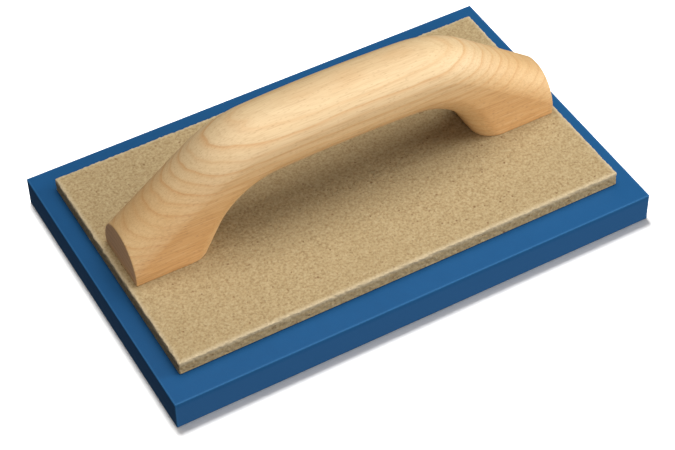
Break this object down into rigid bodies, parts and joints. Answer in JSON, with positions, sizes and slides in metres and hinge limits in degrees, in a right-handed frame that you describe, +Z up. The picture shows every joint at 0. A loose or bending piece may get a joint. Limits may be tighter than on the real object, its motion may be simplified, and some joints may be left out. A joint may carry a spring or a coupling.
{
  "type": "hand float",
  "caption": "Mason's hand float: thick blue rubber working face under a tan backing board, with an arched beech handle screwed on from below.",
  "frame": {"origin": "centre of the flat working face, on the surface it rests on", "axes": "+X along the float's length and the handle's grip, +Y across its width, +Z up from the working face to the handle's crest"},
  "size_m": [0.28, 0.179, 0.0953],
  "materials": {
    "face_rubber": "matte",
    "adhesive": "satin",
    "fibre_board": "matte",
    "beech": "satin",
    "screw_steel": "satin"
  },
  "bodies": {
    "root": {"face_pad": "face_rubber", "bond_film": "adhesive", "backing_board": "fibre_board", "handle": "beech", "screw_left_outer": "screw_steel", "screw_left_inner": "screw_steel", "screw_right_inner": "screw_steel", "screw_right_outer": "screw_steel"}
  },
  "joints": []
}
